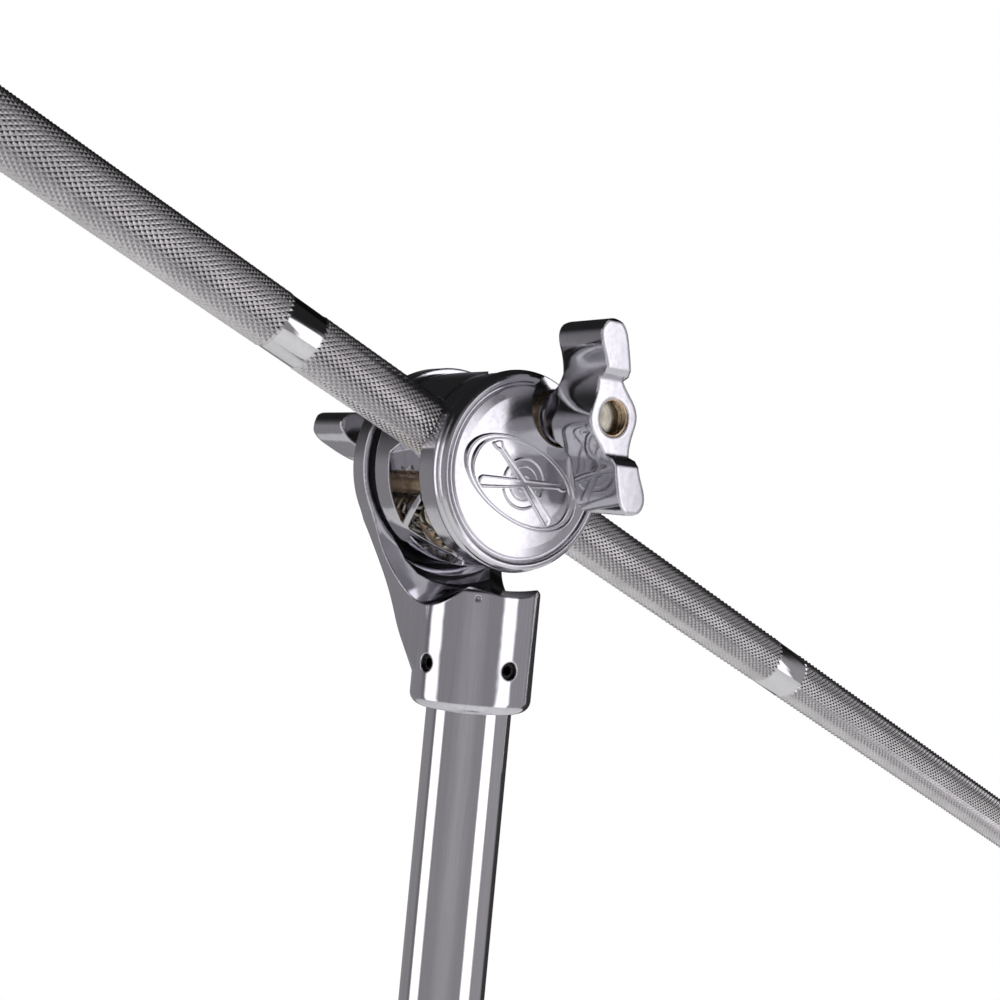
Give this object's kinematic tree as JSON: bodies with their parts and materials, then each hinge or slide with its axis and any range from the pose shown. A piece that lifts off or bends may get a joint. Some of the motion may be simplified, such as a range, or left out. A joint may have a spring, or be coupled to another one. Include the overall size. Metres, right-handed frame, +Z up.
{
  "type": "cymbal boom stand",
  "caption": "Chrome cymbal boom stand with folding tripod base, telescoping tubes, a tilting boom head that clamps a knurled arm, and a cymbal tilter with felts.",
  "frame": {"origin": "on the floor, on the axis of the upright tubes", "axes": "+Z up along the tubes; the boom arm lies in the XZ plane with its cymbal end towards -X; the boom head's round cap faces -Y"},
  "size_m": [0.6418, 0.6898, 1.1569],
  "materials": {
    "chrome_tube": "polished chrome-plated steel tube",
    "chrome_cast": "polished chrome-plated zinc casting",
    "chrome_strap": "chrome-plated flat steel",
    "chrome_small": "chrome-plated steel fastener",
    "knurled_chrome": "diamond-knurled chrome-plated steel with plain polished bands",
    "zinc_steel": "yellowish zinc-plated steel",
    "brass": "brass, slightly tarnished",
    "black_steel": "black-oxide steel",
    "black_nylon": "black nylon",
    "black_rubber": "black rubber with a fine moulded grain",
    "grey_felt": "dense grey wool felt",
    "nylon_sleeve": "black nylon tube"
  },
  "bodies": {
    "base": {"base_tube": "chrome_tube", "base_tube_plug": "black_rubber", "hub_casting": "chrome_cast", "hub_pins": "chrome_small", "lower_clamp": "chrome_cast", "lower_clamp_bolt": "chrome_small", "lower_bushing": "black_nylon"},
    "leg_collar": {"leg_collar": "chrome_cast", "collar_pins": "chrome_small"},
    "collar_wing_bolt": {"collar_wing_bolt": "chrome_cast"},
    "lower_clamp_wing_nut": {"lower_clamp_wing_nut": "chrome_cast"},
    "middle_tube": {"middle_tube": "chrome_tube", "lower_memory_lock": "chrome_cast", "lower_key_screw": "chrome_small", "upper_clamp": "chrome_cast", "upper_clamp_bolt": "chrome_small"},
    "upper_clamp_wing_nut": {"upper_clamp_wing_nut": "chrome_cast"},
    "upper_bushing": {"upper_bushing": "black_nylon"},
    "upper_tube": {"upper_tube": "chrome_tube", "upper_memory_lock": "chrome_cast", "upper_key_screw": "chrome_small", "tilter_bracket": "chrome_cast", "set_screws": "black_steel", "friction_disc": "black_nylon", "rear_spring": "zinc_steel"},
    "boom_head": {"drum": "chrome_cast", "guide_pins": "brass", "cap_spring": "zinc_steel", "pivot_bolt": "zinc_steel", "clamp_stud": "zinc_steel"},
    "rear_washer": {"rear_washer": "chrome_small"},
    "rear_wing_nut": {"rear_wing_nut": "chrome_cast"},
    "front_cap": {"front_cap": "chrome_cast", "clamp_washer": "brass"},
    "clamp_wing_nut": {"clamp_wing_nut": "chrome_cast"},
    "boom_arm": {"boom_arm": "knurled_chrome", "arm_end_cap": "black_rubber", "tilter_base": "chrome_cast", "tilter_bolt": "chrome_small"},
    "cymbal_tilter": {"tilter_top": "chrome_cast", "cymbal_post": "zinc_steel", "seat_washer": "chrome_small", "felt_sleeve": "nylon_sleeve", "lower_felt": "grey_felt", "upper_felt": "grey_felt", "felt_washer": "chrome_small"},
    "tilter_wing_nut": {"tilter_wing_nut": "chrome_cast"},
    "cymbal_wing_nut": {"cymbal_wing_nut": "chrome_cast"},
    "leg_1": {"leg_1": "chrome_strap", "leg_rivets_1": "chrome_small", "foot_1": "black_rubber"},
    "brace_1": {"brace_1": "chrome_strap"},
    "leg_2": {"leg_2": "chrome_strap", "leg_rivets_2": "chrome_small", "foot_2": "black_rubber"},
    "brace_2": {"brace_2": "chrome_strap"},
    "leg_3": {"leg_3": "chrome_strap", "leg_rivets_3": "chrome_small", "foot_3": "black_rubber"},
    "brace_3": {"brace_3": "chrome_strap"}
  },
  "joints": [
    {"name": "collar_slide", "type": "slide", "parent": "base", "child": "leg_collar", "axis": [0, 0, 1], "range_m": [0, 0.136]},
    {"name": "leg_1_hinge", "type": "hinge", "parent": "leg_collar", "child": "leg_1", "pos_m": [-0.028, 0, 0.30597], "axis": [0, -1, 0], "range_deg": [0, 38]},
    {"name": "brace_1_hinge", "type": "hinge", "parent": "base", "child": "brace_1", "pos_m": [-0.028, 0, 0.045], "axis": [0, 1, 0], "range_deg": [0, 38]},
    {"name": "leg_2_hinge", "type": "hinge", "parent": "leg_collar", "child": "leg_2", "pos_m": [0.014, -0.02425, 0.30597], "axis": [0.866, 0.5, 0], "range_deg": [0, 38]},
    {"name": "brace_2_hinge", "type": "hinge", "parent": "base", "child": "brace_2", "pos_m": [0.014, -0.02425, 0.045], "axis": [-0.866, -0.5, 0], "range_deg": [0, 38]},
    {"name": "leg_3_hinge", "type": "hinge", "parent": "leg_collar", "child": "leg_3", "pos_m": [0.014, 0.02425, 0.30597], "axis": [-0.866, 0.5, 0], "range_deg": [0, 38]},
    {"name": "brace_3_hinge", "type": "hinge", "parent": "base", "child": "brace_3", "pos_m": [0.014, 0.02425, 0.045], "axis": [0.866, -0.5, 0], "range_deg": [0, 38]},
    {"name": "collar_wing_bolt_turn", "type": "hinge", "parent": "leg_collar", "child": "collar_wing_bolt", "pos_m": [0.029, 0, 0.32397], "axis": [1, 0, 0], "range_deg": [0, 360]},
    {"name": "middle_tube_slide", "type": "slide", "parent": "base", "child": "middle_tube", "axis": [0, 0, 1], "range_m": [0, 0.15]},
    {"name": "lower_clamp_wing_nut_turn", "type": "hinge", "parent": "base", "child": "lower_clamp_wing_nut", "pos_m": [0.00267, -0.02583, 0.526], "axis": [-0.866, -0.5, 0], "range_deg": [0, 360]},
    {"name": "upper_clamp_wing_nut_turn", "type": "hinge", "parent": "middle_tube", "child": "upper_clamp_wing_nut", "pos_m": [0.00187, -0.02444, 0.751], "axis": [-0.866, -0.5, 0], "range_deg": [0, 360]},
    {"name": "upper_tube_swivel", "type": "hinge", "parent": "middle_tube", "child": "upper_bushing", "pos_m": [0, 0, 0.755], "axis": [0, 0, 1], "continuous": true},
    {"name": "upper_tube_slide", "type": "slide", "parent": "upper_bushing", "child": "upper_tube", "axis": [0, 0, 1], "range_m": [0, 0.12]},
    {"name": "boom_tilt", "type": "hinge", "parent": "upper_tube", "child": "boom_head", "pos_m": [0, 0, 0.95], "axis": [0, -1, 0], "range_deg": [-21, 68]},
    {"name": "rear_washer_travel", "type": "slide", "parent": "boom_head", "child": "rear_washer", "axis": [0, 1, 0], "range_m": [0, 0.00125]},
    {"name": "rear_wing_nut_turn", "type": "hinge", "parent": "rear_washer", "child": "rear_wing_nut", "pos_m": [0, 0.0285, 0.95], "axis": [0, 1, 0], "range_deg": [0, 360]},
    {"name": "front_cap_travel", "type": "slide", "parent": "boom_head", "child": "front_cap", "axis": [0, -1, 0], "range_m": [0, 0.00125]},
    {"name": "clamp_wing_nut_turn", "type": "hinge", "parent": "front_cap", "child": "clamp_wing_nut", "pos_m": [0.0092, -0.0113, 0.9628], "axis": [0, -1, 0], "range_deg": [0, 360]},
    {"name": "boom_arm_slide", "type": "slide", "parent": "boom_head", "child": "boom_arm", "axis": [-0.9164, 0, 0.4003], "range_m": [-0.17, 0.225]},
    {"name": "cymbal_tilt", "type": "hinge", "parent": "boom_arm", "child": "cymbal_tilter", "pos_m": [-0.2355, 0, 1.05289], "axis": [0, -1, 0], "range_deg": [-45, 100]},
    {"name": "tilter_wing_nut_turn", "type": "hinge", "parent": "boom_arm", "child": "tilter_wing_nut", "pos_m": [-0.2355, -0.01, 1.05289], "axis": [0, -1, 0], "range_deg": [0, 360]},
    {"name": "cymbal_wing_nut_turn", "type": "hinge", "parent": "cymbal_tilter", "child": "cymbal_wing_nut", "pos_m": [-0.2355, 0, 1.11919], "axis": [0, 0, 1], "range_deg": [0, 360]}
  ],
  "couplings": [
    {"joint": "leg_1_hinge", "follows": "collar_slide", "rad_per_m": 4.8767},
    {"joint": "brace_1_hinge", "follows": "collar_slide", "rad_per_m": 4.8767},
    {"joint": "leg_2_hinge", "follows": "collar_slide", "rad_per_m": 4.8767},
    {"joint": "brace_2_hinge", "follows": "collar_slide", "rad_per_m": 4.8767},
    {"joint": "leg_3_hinge", "follows": "collar_slide", "rad_per_m": 4.8767},
    {"joint": "brace_3_hinge", "follows": "collar_slide", "rad_per_m": 4.8767},
    {"joint": "rear_wing_nut_turn", "follows": "rear_washer_travel", "rad_per_m": 5026.5},
    {"joint": "clamp_wing_nut_turn", "follows": "front_cap_travel", "rad_per_m": 5026.5}
  ]
}
